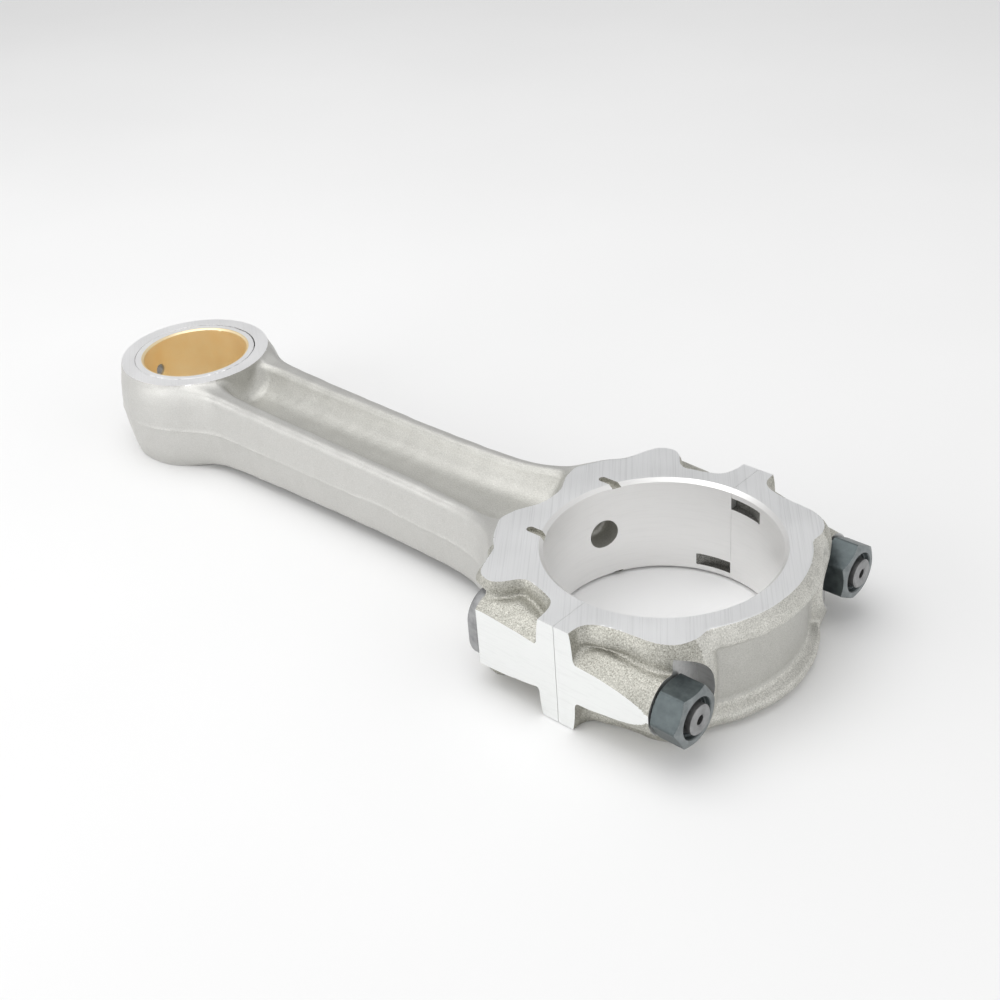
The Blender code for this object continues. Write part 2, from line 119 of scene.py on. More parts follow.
def flowing(points, per=6, closed=True):
    """Catmull-Rom curve through the points, as a denser polyline."""
    pts = np.array(points, float)
    n = len(pts)
    out = []
    spans = n if closed else n - 1
    for i in range(spans):
        if closed:
            p0, p1, p2, p3 = pts[i - 1], pts[i], pts[(i + 1) % n], pts[(i + 2) % n]
        else:
            p0, p1, p2, p3 = pts[max(i - 1, 0)], pts[i], pts[i + 1], pts[min(i + 2, n - 1)]
        for j in range(per):
            t = j / per
            out.append(0.5 * ((2 * p1) + (p2 - p0) * t + (2 * p0 - 5 * p1 + 4 * p2 - p3) * t * t
                              + (3 * p1 - p0 - 3 * p2 + p3) * t ** 3))
    if not closed:
        out.append(pts[-1])
    return np.array(out)


class Table:
    """Smooth value along x through a few knots."""

    def __init__(self, knots):
        line = flowing(knots, 12, closed=False)
        order = np.argsort(line[:, 0], kind="stable")
        self.x, self.v = line[order, 0], line[order, 1]

    def __call__(self, x):
        return np.interp(x, self.x, self.v)


class Plan:
    """Signed distance to a closed outline in the xy plane, looked up on a fine grid."""

    def __init__(self, outline, x0, x1, y0, y1, cell=0.25):
        self.x0, self.y0, self.cell = x0, y0, cell
        xs = np.arange(x0, x1 + cell, cell)
        ys = np.arange(y0, y1 + cell, cell)
        gx, gy = np.meshgrid(xs, ys, indexing="ij")
        best = np.full(gx.shape, 1e9)
        inside = np.zeros(gx.shape, bool)
        for i in range(len(outline)):
            ax, ay = outline[i - 1]
            bx, by = outline[i]
            ex, ey = bx - ax, by - ay
            wx, wy = gx - ax, gy - ay
            t = np.clip((wx * ex + wy * ey) / max(ex * ex + ey * ey, 1e-12), 0, 1)
            best = np.minimum(best, (wx - t * ex) ** 2 + (wy - t * ey) ** 2)
            crosses = (ay > gy) != (by > gy)
            if ey != 0:
                inside ^= crosses & (gx < ex * (gy - ay) / ey + ax)
        self.d = np.where(inside, -1.0, 1.0) * np.sqrt(best)

    def __call__(self, x, y):
        u = np.clip((x - self.x0) / self.cell, 0, self.d.shape[0] - 1.001)
        v = np.clip((y - self.y0) / self.cell, 0, self.d.shape[1] - 1.001)
        u, v = np.broadcast_arrays(u, v)
        i, j = u.astype(np.int32), v.astype(np.int32)
        fu, fv = u - i, v - j
        d = self.d
        low = d[i, j] * (1 - fu) + d[i + 1, j] * fu
        high = d[i, j + 1] * (1 - fu) + d[i + 1, j + 1] * fu
        return low * (1 - fv) + high * fv


def mirror_half(half):
    """Full outline from its +Y half."""
    other = [(x, -y) for x, y in reversed(half) if y > 0]
    return list(half) + other


def uneven(x, y, z, size, seed):
    """Gentle unevenness of a forged skin, about -1 to 1."""
    rng = np.random.RandomState(seed)
    waves, spread = 7, 4.2
    total = 0.0
    for _ in range(waves):
        d = rng.normal(size=3)
        d = d / np.linalg.norm(d) * (2 * math.pi / (size * rng.uniform(0.6, 1.6)))
        total = total + np.sin(x * d[0] + y * d[1] + z * d[2] + rng.uniform(0, 6.28))
    return total / spread


# ---------------------------------------------------------------------------------------
# dual contouring
# ---------------------------------------------------------------------------------------
def sampled(field, xs, ys, zs, slab=24):
    """Field values on a grid, worked out a slab at a time to spare memory."""
    values = np.empty((len(xs), len(ys), len(zs)), np.float32)
    for i in range(0, len(xs), slab):
        values[i:i + slab] = field(
            xs[i:i + slab, None, None], ys[None, :, None], zs[None, None, :])
    return values


def crossed_edges(inside, axis):
    """Grid edges along an axis that the surface crosses, without those on the grid's rim."""
    a = [slice(None)] * 3
    b = [slice(None)] * 3
    a[axis], b[axis] = slice(0, -1), slice(1, None)
    idx = np.argwhere(inside[tuple(a)] != inside[tuple(b)])
    keep = np.ones(len(idx), bool)
    for k in range(3):
        if k != axis:
            keep &= (idx[:, k] > 0) & (idx[:, k] < inside.shape[k] - 1)
    return idx[keep]


def crossing_points(field, values, idx, axis, low, step):
    """Where the surface crosses each of those edges, closed in on from both ends."""
    p0 = low + idx * step
    p1 = p0.copy()
    p1[:, axis] += step
    nxt = idx.copy()
    nxt[:, axis] += 1
    a, b = np.zeros(len(idx)), np.ones(len(idx))
    fa = values[tuple(idx.T)].astype(float)
    fb = values[tuple(nxt.T)].astype(float)
    t = fa / (fa - fb)
    for _ in range(5):
        p = p0 + (p1 - p0) * t[:, None]
        f = field(p[:, 0], p[:, 1], p[:, 2])
        same = (f < 0) == (fa < 0)
        a, fa = np.where(same, t, a), np.where(same, f, fa)
        b, fb = np.where(same, b, t), np.where(same, fb, f)
        guess = a + (b - a) * np.clip(fa / (fa - fb + 1e-30), 0.05, 0.95)
        t = np.where(np.abs(f) < 1e-5, t, guess)
    return p0 + (p1 - p0) * t[:, None]


def cells_round(idx, axis, strides):
    """The four cells that share each edge, in turning order."""
    u, v = (axis + 1) % 3, (axis + 2) % 3
    ring = []
    for du, dv in ((0, 0), (-1, 0), (-1, -1), (0, -1)):
        c = idx.copy()
        c[:, u] += du
        c[:, v] += dv
        ring.append(c @ strides)
    return np.stack(ring, 1)


def directions(field, points, h=0.02):
    """Unit normals of the surface at the points."""
    normals = np.stack([
        field(*(points + h * np.eye(3)[k]).T) - field(*(points - h * np.eye(3)[k]).T)
        for k in range(3)], 1)
    return normals / (np.linalg.norm(normals, axis=1, keepdims=True) + 1e-12)


def cell_vertices(points, normals, row, count):
    """One vertex for each cell, where the tangent planes met in that cell come together."""
    pts4, nrm4 = np.tile(points, (4, 1)), np.tile(normals, (4, 1))
    hits = np.bincount(row, minlength=count).astype(float)
    mass = np.stack([np.bincount(row, pts4[:, k], count) for k in range(3)], 1) / hits[:, None]
    plane = np.einsum("ij,ij->i", nrm4, pts4 - mass[row])
    ata = np.empty((count, 3, 3))
    for i in range(3):
        for j in range(3):
            ata[:, i, j] = np.bincount(row, nrm4[:, i] * nrm4[:, j], count)
    atb = np.stack([np.bincount(row, nrm4[:, k] * plane, count) for k in range(3)], 1)
    w, q = np.linalg.eigh(ata)
    inv = np.where(w > 0.03 * w[:, -1:], 1 / np.maximum(w, 1e-9), 0.0)
    local = np.einsum("nji,nj->ni", q, atb) * inv
    return mass + np.einsum("nij,nj->ni", q, local)


def surface_mesh(field, low, high, step):
    """Vertices and quads of field = 0, with its edges kept crisp."""
    low, high = np.array(low, float), np.array(high, float)
    n = np.ceil((high - low) / step).astype(int) + 1
    values = sampled(field, *(low[k] + step * np.arange(n[k]) for k in range(3)))
    inside = values < 0
    cells = n - 1
    strides = np.array([cells[1] * cells[2], cells[2], 1])
    points, owners, quads = [], [], []
    for axis in range(3):
        idx = crossed_edges(inside, axis)
        points.append(crossing_points(field, values, idx, axis, low, step))
        ring = cells_round(idx, axis, strides)
        owners.append(ring)
        first_in = inside[tuple(idx.T)]
        quads.append(np.where(first_in[:, None], ring, ring[:, ::-1]))
    points, owners, quads = (np.concatenate(rows) for rows in (points, owners, quads))
    ids, flat = np.unique(owners, return_inverse=True)
    row = flat.reshape(owners.shape).T.ravel()
    verts = cell_vertices(points, directions(field, points), row, len(ids))
    corner = np.stack([ids // strides[0], (ids // strides[1]) % cells[1], ids % cells[2]], 1)
    centre = low + (corner + 0.5) * step
    verts = np.clip(verts, centre - 0.5 * step, centre + 0.5 * step)
    return verts, np.searchsorted(ids, quads)


def mesh_object(name, verts, faces, body, node, half_width=BOX_Y):
    """Object from millimetre vertices measured from the big-end axis and parting plane."""
    mesh = bpy.data.meshes.new(name)
    reach_low = (-BOX_X, -half_width, INSIDE - MID)
    reach_high = (CAP_END_X, half_width, MID - INSIDE)
    co = (np.clip(verts, reach_low, reach_high) + (BIG_X, 0.0, MID)) * MM
    faces = np.asarray(faces)
    per = faces.shape[1]
    mesh.vertices.add(len(co))
    mesh.vertices.foreach_set("co", co.ravel())
    mesh.loops.add(faces.size)
    mesh.loops.foreach_set("vertex_index", faces.ravel().astype(np.int32))
    mesh.polygons.add(len(faces))
    mesh.polygons.foreach_set("loop_start", np.arange(0, faces.size, per, dtype=np.int32))
    mesh.update(calc_edges=True)
    mesh.validate()
    obj = bpy.data.objects.new(name, mesh)
    bpy.context.scene.collection.objects.link(obj)
    mesh.shade_smooth()
    mesh.set_sharp_from_angle(angle=math.radians(33))
    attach(obj, body)
    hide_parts(node)
    return obj


# ---------------------------------------------------------------------------------------
# fields that rod and cap share; each is negative inside its shape
# ---------------------------------------------------------------------------------------
# lean of a forged wall below the ground face, by height from the parting plane
GROW_Z = np.array([0.0, 5.0, 8.0, 10.5, 12.2, 13.4, 14.2, 14.5])
GROW = np.array([2.9, 2.75, 2.5, 2.05, 1.5, 0.9, 0.3, 0.0])
# flash line along the parting plane: how far it stands out, by height
flash_at = Table([(-0.9, 0.0), (-0.5, 0.04), (0.0, 0.14), (0.5, 0.04), (0.9, 0.0)])
SWELL = 0.07                 # depth of the broad unevenness of a forged skin
RIPPLE = 0.03                # depth of the fine unevenness


def boss_field(ay, z, x, r0, r1, x0, x1):
    """Forged boss round a bolt axis, narrowing from x0 to x1."""
    t = np.clip((x - x0) / (x1 - x0), 0, 1)
    return np.hypot(ay - (BOLT_Y - 0.6), z) - (r0 + (r1 - r0) * t ** 2)


def wall_growth(ay, az):
    """How far a forged wall leans out below the ground face; pad tongues stay straighter."""
    lean = np.interp(az, GROW_Z, GROW)
    return lean * np.interp(ay, [35.5, 40.5], [1.0, 0.35])


def crease(a, b, depth, width=1.9):
    """Hollow left in the die where two forged shapes a and b meet."""
    return depth * np.exp(-((a - b) / width) ** 2)


def crease_reach(ay):
    """The hollow runs out before it reaches the milled pads."""
    return np.interp(ay, [37.0, 41.0], [1.0, 0.0])


def chamfered_bore(x, y, z, cx, radius, chamfer):
    r = np.hypot(x - cx, y)
    cone = r - (radius + chamfer - (MID - np.abs(z)))
    return np.minimum(r - radius, cone * SIN_45)


def bolt_holes(y, z, radius):
    return np.hypot(np.abs(y) - BOLT_Y, z) - radius


def tang(x, y, z, middle):
    """Locating notch of a bearing shell, sunk into the bore wall."""
    return np.maximum(np.hypot(x, y - TANG_Y) - TANG_R, np.abs(z - middle) - TANG_HALF)


def split_gap(ay):
    """The split opens a little on the milled pads, where its edge was eased."""
    return np.where(ay > HALF_WIDTH - 0.9, PAD_GAP, SPLIT_GAP)


def field_of(terms):
    """One field from every surface that bounds a piece."""
    def field(x, y, z):
        value = None
        for term, _ in terms(x, y, z):
            value = term if value is None else np.maximum(value, term)
        return value
    return field


# ---------------------------------------------------------------------------------------
# rod forging
# ---------------------------------------------------------------------------------------
# ground face: joint, pad tongue, bay beside the bolt boss, shoulder, end of the channel
ROD_FACE = mirror_half([
    (8.0, 0.0), (8.0, 44.6), (2.0, 46.0), (-4.4, 46.0), (-4.7, 43.0), (-4.9, 40.2), (-5.6, 37.2),
    (-7.0, 35.1), (-9.4, 34.0), (-12.2, 33.1), (-14.4, 32.6), (-16.6, 32.2), (-18.6, 33.1),
    (-20.2, 35.0), (-21.6, 36.6), (-23.6, 37.8), (-26.0, 37.7), (-28.2, 36.7), (-29.6, 34.6),
    (-30.3, 32.0), (-30.5, 28.8), (-31.0, 26.4), (-32.6, 24.4), (-34.8, 22.6), (-36.6, 20.4),
    (-38.3, 18.0), (-39.6, 15.6), (-40.0, 13.0), (-39.6, 10.5), (-38.2, 7.6), (-36.6, 4.2),
    (-36.2, 0.0),
])
rod_plan = Plan(flowing(ROD_FACE), -60, 12, -52, 52)
# along the shank: half width, half width of the channel, height of the flanges
half_at = Table([
    (-200, 20.0), (-186, 19.6), (-176, 18.4), (-168, 16.4), (-158, 15.1), (-140, 14.6),
    (-112, 14.3), (-86, 14.3), (-66, 14.8), (-56, 15.5), (-49, 16.9), (-42, 20.4), (-36, 25.2),
    (-30.5, 30.0), (-26, 33.0), (-18, 34.0)])
inner_at = Table([
    (-200, 5.0), (-175, 6.6), (-164, 8.0), (-158, 9.3), (-150, 9.6), (-130, 9.7), (-100, 10.1),
    (-80, 10.3), (-65, 11.0), (-57, 11.8), (-49, 13.0), (-43, 14.1), (-38, 15.8), (-30, 18.5),
    (-20, 20.0)])
crest_at = Table([
    (-200, 13.6), (-176, 13.5), (-168, 13.1), (-160, 12.6), (-150, 12.1), (-138, 11.8),
    (-118, 11.5), (-100, 11.2), (-64, 11.1), (-54, 11.5), (-46, 12.3), (-38, 13.5),
    (-30, 13.9), (-18, 14.0)])
# the eye's radius by height
EYE_Z = np.array([0.0, 4.0, 8.0, 11.5, 13.5, 14.5])
EYE_RADII = np.array([25.55, 25.3, 24.8, 24.2, 23.8, 23.5])
EYE_FACE_R = 23.5
EYE_LIMIT_R = 26.0
WEB = 4.5                    # half thickness of the web
SHANK_DRAFT = 1.25
TROUGH_SLOPE = 0.36          # lean of the channel's walls
BEAM_END_X = -27.0           # where the shank has run into the shoulders


def shank(x, ay, az, flash):
    """I-section beam with a channel in each face."""
    half, inner, crest = half_at(x), inner_at(x), crest_at(x)
    side = ay - half - SHANK_DRAFT * (1 - az / crest) - flash
    bar = smax(side, az - crest, 2.2)
    trough = smax(ay - inner + (crest - az) * TROUGH_SLOPE, WEB - az, 6.0)
    beam = smax(bar, -trough, 1.6)
    return np.maximum(beam, np.maximum(EYE_X - x, x - BEAM_END_X))


def rod_skin(x, y, z):
    """Everything on the rod that the die left, before machining."""
    ay, az = np.abs(y), np.abs(z)
    flash = flash_at(z + 0.6 * uneven(x, y, 0.0, 26.0, 8))
    facing_shank = EYE_FACE_R + np.interp(ay, [9.0, 13.0], [0.0, 2.2])
    in_channel = np.where(x > EYE_X, facing_shank, EYE_LIMIT_R)
    eye_r = np.minimum(np.interp(az, EYE_Z, EYE_RADII), in_channel)
    eye = np.hypot(x - EYE_X, y) - eye_r - flash
    beam = shank(x, ay, az, flash)
    head = rod_plan(x, y) - wall_growth(ay, az) - 0.8 * flash
    boss = np.maximum(boss_field(ay, z, x, 11.6, 9.6, BEAM_END_X, 0.0), BEAM_END_X - x)
    big = smin(head, boss, 1.2) + crease(head, boss, 1.0) * crease_reach(ay)
    fillet = 0.8 + np.interp(ay, [8.0, 13.5], [4.2, 8.0]) * (1 - (az / MID) ** 6)
    skin = smin(smin(beam, big, 4.0), eye, fillet)
    return skin - SWELL * uneven(x, y, z, 14.0, 3) - RIPPLE * uneven(x, y, z, 4.5, 4)


def squirt(x, y, z):
    """Oil pocket in the bore wall with a fine jet drilled on through the shoulder."""
    along = x * math.cos(SQUIRT_AT) + y * math.sin(SQUIRT_AT)
    across = np.hypot(-x * math.sin(SQUIRT_AT) + y * math.cos(SQUIRT_AT), z)
    pocket = smax(across - SQUIRT_R, along - SQUIRT_END, 1.5)
    jet = np.maximum(across - JET_R, along - JET_END)
    return np.maximum(np.minimum(pocket, jet), 20.0 - along)


def oil_hole(x, y, z):
    """Radial drilling through the crown of the eye and the bush."""
    along = (x - EYE_X) * math.cos(OIL_AT) + y * math.sin(OIL_AT)
    across = np.hypot(-(x - EYE_X) * math.sin(OIL_AT) + y * math.cos(OIL_AT), z - OIL_Z)
    return np.maximum(across - OIL_R, 8.0 - along)


def oil_slots(x, ay, az):
    """Round-ended slots from the bore out across both thrust faces."""
    run = np.maximum(-x + SLOT_END_X + SLOT_HALF, 0.0)
    slots = np.hypot(run, ay - SLOT_Y) - SLOT_HALF
    return np.maximum(np.maximum(slots, SLOT_FLOOR - az), x + 20.0)


def rod_terms(x, y, z):
    """Every surface that bounds the rod, with the finish it carries; the notch carries painted
    shade.
    """
    ay, az = np.abs(y), np.abs(z)
    flat = 0 * x + 0 * y + 0 * z
    yield rod_skin(x, y, z), FORGED_SKIN
    yield az - MID + flat, GROUND_FACE
    yield ay - HALF_WIDTH + flat, MILLED_PAD
    yield x + split_gap(ay) + flat, MILLED_PAD
    yield -BOX_X - x + flat, FORGED_SKIN
    seat = np.maximum(np.hypot(ay - BOLT_Y, z) - HEAD_SEAT_R, x - HEAD_SEAT_X)
    yield -np.maximum(seat, -60.0 - x), MILLED_SEAT
    yield -bolt_holes(y, z, ROD_HOLE_R) + flat, MILLED_SEAT
    yield -chamfered_bore(x, y, z, 0.0, BORE_R, BORE_CHAMFER), HONED_BORE
    yield -chamfered_bore(x, y, z, EYE_X, EYE_BORE_R, EYE_BORE_CHAMFER), HONED_BORE
    yield -oil_hole(x, y, z), MILLED_SEAT
    yield -squirt(x, y, z), CHANNEL_SKIN
    yield -oil_slots(x, ay, az), BLASTED_SKIN
    # the notch's faces take a near-black colour: painted shade
    yield -tang(x, y, z, ROD_TANG_Z), CUT_NOTCH


def rod_zones(which, x, ay, az):
    """Blasted skin on the big end, its own skin in the channel, a finer ring on the eye with a
    lighter tint as painted sheen.
    """
    big_end = (x > -44.0) & (x + ay > -8.0)
    channel = (x < -36.0) & (x > -165.0) & (ay < inner_at(x) + 0.8)
    which = np.where((which == FORGED_SKIN) & big_end, BLASTED_SKIN, which)
    which = np.where((which == FORGED_SKIN) & channel, CHANNEL_SKIN, which)
    return np.where((which == GROUND_FACE) & (x < EYE_X / 2), GROUND_RING, which)


# ---------------------------------------------------------------------------------------
# bearing cap
# ---------------------------------------------------------------------------------------
# ground face: from the ring round the bolt boss and out to the pad tongue
CAP_FACE = mirror_half([
    (20.0, 0.0), (26.0, 20.6), (28.8, 23.0), (29.3, 25.6), (28.6, 28.2), (27.4, 30.4),
    (25.4, 32.2), (22.4, 33.6), (18.4, 34.2), (14.0, 34.4), (11.0, 34.3), (8.4, 35.2),
    (6.2, 37.1), (4.9, 39.2), (4.5, 42.0), (4.3, 45.0), (0.0, 46.0), (-6.0, 45.0), (-6.0, 0.0),
])
cap_plan = Plan(flowing(CAP_FACE), -10, 60, -56, 56)
# the ring's radius by height: web, then the rounded flange
CAP_Z = np.array([0.0, 7.4, 8.3, 8.9, 9.5, 10.0, 10.6, 11.4, 12.3, 13.1, 13.8, 14.5])
CAP_R = np.array([36.1, 36.2, 36.45, 37.0, 38.0, 38.9, 39.4, 39.5, 39.3, 38.7, 37.8, 36.7])
WEB_TOP = 8.3
WEB_R = 37.2
WEB_HALF_Y = 27.0


def cap_skin(x, y, z):
    """Everything on the cap that the die left, before machining."""
    ay, az = np.abs(y), np.abs(z)
    ring = np.hypot(x, y) - np.interp(az, CAP_Z, CAP_R)
    head = cap_plan(x, y) - wall_growth(ay, az)
    boss = np.maximum(boss_field(ay, z, x, 9.9, 8.15, 4.0, 26.5), x - 30.0)
    joined = smin(head, boss, 1.2) + crease(head, boss, 0.6) * crease_reach(ay)
    skin = smin(ring, joined, 1.8)
    return skin - SWELL * uneven(x, y, z, 12.0, 5) - RIPPLE * uneven(x, y, z, 4.0, 6)


def cap_terms(x, y, z):
    """Every surface that bounds the cap, with the finish it carries; the notch carries painted
    shade.
    """
    ay, az = np.abs(y), np.abs(z)
    flat = 0 * x + 0 * y + 0 * z
    yield cap_skin(x, y, z), BLASTED_SKIN
    yield az - MID + flat, GROUND_FACE
    yield ay - HALF_WIDTH + flat, MILLED_PAD
    yield split_gap(ay) - x + flat, MILLED_PAD
    yield x - CAP_END_X + flat, BLASTED_SKIN
    pocket = np.maximum(np.hypot(ay - BOLT_Y, z) - NUT_POCKET_R, NUT_SEAT_X - x)
    yield -pocket, MILLED_SEAT
    yield -bolt_holes(y, z, CAP_HOLE_R) + flat, MILLED_SEAT
    yield -chamfered_bore(x, y, z, 0.0, BORE_R, BORE_CHAMFER), HONED_BORE
    # the notch's faces take a near-black colour: painted shade
    yield -tang(x, y, z, CAP_TANG_Z), CUT_NOTCH


def cap_zones(which, x, ay, az):
    """Smoother web, with the flange above and below it tinted lighter as painted light."""
    middle = (which == BLASTED_SKIN) & (ay < WEB_HALF_Y)
    web = (az < WEB_TOP) & (np.hypot(x, ay) < WEB_R)
    which = np.where(middle & web, CHANNEL_SKIN, which)
    return np.where(middle & ~web, FLANGE_SKIN, which)


# ---------------------------------------------------------------------------------------
# materials
# ---------------------------------------------------------------------------------------
class Nodes:
    """Short-hand for building a procedural metal."""

    def __init__(self, name):
        self.mat = bpy.data.materials.new(name)
        self.mat.use_nodes = True
        self.tree = self.mat.node_tree
        self.shader = self.tree.nodes["Principled BSDF"]

    def feed(self, socket, value):
        """Link another node's output into a socket, or set the socket to a plain value."""
        if hasattr(value, "is_output"):
            self.tree.links.new(value, socket)
        else:
            socket.default_value = value

    def add(self, kind, *values, **named):
        """New node: values fill its first sockets, named ones set a socket or a property."""
        node = self.tree.nodes.new(kind)
        for key, value in named.items():
            socket = key.replace("_", " ")
            if socket in node.inputs:
                self.feed(node.inputs[socket], value)
            else:
                setattr(node, key, value)
        for socket, value in zip(node.inputs, values):
            self.feed(socket, value)
        return node

    def shade(self, socket, value):
        self.feed(self.shader.inputs[socket], value)

    def position(self, scale=(1.0, 1.0, 1.0)):
        coord = self.add("ShaderNodeTexCoord")
        mapping = self.add("ShaderNodeMapping", Vector=coord.outputs["Object"], Scale=scale)
        return mapping.outputs["Vector"]

    def noise(self, where, scale, detail=2.0, rough=0.5):
        made = self.add("ShaderNodeTexNoise", Vector=where, Scale=scale, Detail=detail,
                        Roughness=rough)
        return made.outputs["Fac"]

    def math(self, operation, *values):
        return self.add("ShaderNodeMath", *values, operation=operation).outputs[0]

    def ramp(self, fac, stops):
        made = self.add("ShaderNodeValToRGB", Fac=fac)
        ramp = made.color_ramp
        while len(ramp.elements) < len(stops):
            ramp.elements.new(0.5)
        for element, (at, value) in zip(ramp.elements, stops):
            element.position = at
            colour = value if isinstance(value, tuple) else (value, value, value)
            element.color = (*colour, 1.0)
        return made.outputs["Color"]

    def bump(self, height, strength, distance, **under):
        made = self.add("ShaderNodeBump", Height=height, Strength=strength, Distance=distance,
                        **under)
        return made.outputs["Normal"]


def forged_metal(name, dark, light, contrast, grain):
    """Shot-blasted or pickled forging: fine speckle over a slightly cloudy skin."""
    m = Nodes(name)
    at = m.position()
    fine = m.noise(at, 2900.0, 2.5, 0.7)
    patch = m.noise(at, 230.0, 3.0, 0.6)
    cloud = m.noise(at, 60.0, 3.0, 0.6)
    tone = m.math("MULTIPLY_ADD", patch, 0.22, fine)
    m.shade("Base Color", m.ramp(tone, [(0.61 - contrast, dark), (0.61 + contrast, light)]))
    m.shade("Metallic", 0.8)
    m.shade("Roughness", m.ramp(cloud, [(0.3, 0.44), (0.7, 0.56)]))
    dents = m.add("ShaderNodeTexVoronoi", Vector=at, Scale=1700.0).outputs["Distance"]
    first = m.bump(dents, 0.5 * grain, 0.00016)
    m.shade("Normal", m.bump(fine, 0.6 * grain, 0.00016, Normal=first))
    return m.mat


def along_lines(m, direction, across_scale, along_scale):
    """Texture position stretched along a direction, for brushed and ground lines."""
    where = m.add("ShaderNodeTexCoord").outputs["Object"]
    made = m.add("ShaderNodeCombineXYZ")
    d = Vector(direction).normalized()
    for socket, axis, scale in (("X", d, along_scale), ("Y", d.cross((0, 0, 1)), across_scale)):
        scaled_axis = tuple(c * scale for c in axis)
        dot = m.add("ShaderNodeVectorMath", where, scaled_axis, operation="DOT_PRODUCT")
        m.feed(made.inputs[socket], dot.outputs["Value"])
    return made.outputs["Vector"]


def ground_metal(name, tint, rough, where, strength, streak=0.06):
    """Ground or milled face with fine lines; where(m, k) gives the stretched position."""
    m = Nodes(name)
    fine = m.noise(where(m, 1.0), 1.0, 3.0, 0.7)
    wide = m.noise(where(m, 0.37), 1.0, 2.0, 0.5)
    cloud = m.noise(m.position(), 60.0, 3.0, 0.5)
    low = tuple(c * (1 - streak) for c in tint)
    high = tuple(min(1.0, c * (1 + streak)) for c in tint)
    m.shade("Base Color", m.ramp(m.math("ADD", fine, wide), [(0.8, low), (1.2, high)]))
    m.shade("Metallic", 0.88)
    m.shade("Roughness", m.ramp(cloud, [(0.3, rough - 0.04), (0.7, rough + 0.05)]))
    m.shade("Normal", m.bump(fine, strength, 0.00004))
    return m.mat


def brushed(direction, across=5200.0, along=45.0):
    return lambda m, k: along_lines(m, direction, across * k, along * k)


def scaled(x, y, z):
    return lambda m, k: m.position((x * k, y * k, z * k))


def dark_metal(name, dark, light, rough, grain):
    """Oxidised or oiled steel of the bolts and nuts."""
    m = Nodes(name)
    at = m.position()
    cloud = m.noise(at, 420.0, 4.0, 0.6)
    fine = m.noise(at, 3200.0, 2.0, 0.6)
    m.shade("Base Color", m.ramp(cloud, [(0.35, dark), (0.68, light)]))
    m.shade("Metallic", 0.75)
    m.shade("Roughness", m.ramp(cloud, [(0.3, rough - 0.06), (0.7, rough + 0.08)]))
    m.shade("Normal", m.bump(fine, grain, 0.00006))
    return m.mat


def bronze_metal():
    """Bored bronze lining with a steel back showing on the end faces."""
    m = Nodes("bush_bronze")
    where = m.add("ShaderNodeTexCoord").outputs["Object"]
    split = m.add("ShaderNodeSeparateXYZ", Vector=where).outputs
    dx = m.math("SUBTRACT", split["X"], (BIG_X - CENTRES) * MM)
    flat = m.add("ShaderNodeCombineXYZ", X=dx, Y=split["Y"]).outputs[0]
    radius = m.add("ShaderNodeVectorMath", flat, operation="LENGTH").outputs["Value"]
    steel = m.add("ShaderNodeMapRange", Value=radius, From_Min=0.01722, From_Max=0.01730)
    steel = steel.outputs["Result"]
    cloud = m.noise(m.position(), 130.0, 3.0, 0.6)
    rings = m.noise(m.position((40.0, 40.0, 2600.0)), 1.0, 2.0, 0.6)
    gold = m.ramp(cloud, [(0.3, (0.98, 0.80, 0.50)), (0.7, (1.0, 0.86, 0.58))])
    mix = m.add("ShaderNodeMix", steel, data_type="RGBA")
    colour_a, colour_b, colour_out = mix.inputs[6], mix.inputs[7], mix.outputs[2]
    m.feed(colour_a, gold)
    m.feed(colour_b, (0.95, 0.95, 0.955, 1.0))
    m.shade("Base Color", colour_out)
    m.shade("Metallic", 0.75)
    lining = m.ramp(cloud, [(0.3, 0.34), (0.7, 0.42)])
    m.shade("Roughness", m.math("MULTIPLY_ADD", steel, 0.08, lining))
    m.shade("Normal", m.bump(rings, 0.25, 0.00003))
    return m.mat


GRIND = (-0.60, 0.80, 0.0)           # run of the grinding lines on the big end
GRIND_EYE = (-0.80, 0.60, 0.0)

FINISHES = {
    FORGED_SKIN: forged_metal(
        "forged_skin", (0.53, 0.525, 0.50), (0.67, 0.665, 0.645), 0.30, 0.35),
    CHANNEL_SKIN: forged_metal(
        "channel_skin", (0.47, 0.465, 0.435), (0.66, 0.655, 0.62), 0.26, 0.5),
    BLASTED_SKIN: forged_metal(
        "blasted_skin", (0.25, 0.245, 0.21), (0.70, 0.69, 0.635), 0.20, 0.8),
    # painted light: a lighter copy of the blasted skin for the light falling on the cap's flange
    FLANGE_SKIN: forged_metal(
        "flange_skin_painted_light", (0.40, 0.395, 0.36), (0.86, 0.85, 0.80), 0.24, 0.6),
    # painted shade: near-black colour for the shade inside the bearing notches
    CUT_NOTCH: forged_metal(
        "notch_painted_shade", (0.09, 0.09, 0.08), (0.36, 0.355, 0.335), 0.22, 1.0),
    GROUND_FACE: ground_metal(
        "ground_face", (0.84, 0.845, 0.85), 0.46, brushed(GRIND), 0.3, 0.045),
    # painted sheen: a brighter tint than the big end's ground face, over the eye ring's own
    # grinding lines
    GROUND_RING: ground_metal(
        "ground_ring_painted_sheen", (0.95, 0.95, 0.955), 0.50, brushed(GRIND_EYE), 0.2, 0.02),
    MILLED_PAD: ground_metal(
        "milled_pad", (0.87, 0.88, 0.87), 0.52, scaled(300.0, 300.0, 3600.0), 0.12, 0.015),
    HONED_BORE: ground_metal(
        "honed_bore", (0.88, 0.875, 0.865), 0.34, scaled(200.0, 200.0, 5200.0), 0.10, 0.012),
    MILLED_SEAT: ground_metal(
        "milled_seat", (0.60, 0.60, 0.595), 0.42, scaled(400.0, 2600.0, 2600.0), 0.3),
}
OXIDE = dark_metal("black_oxide_nut", (0.082, 0.098, 0.102), (0.125, 0.148, 0.152), 0.38, 0.3)
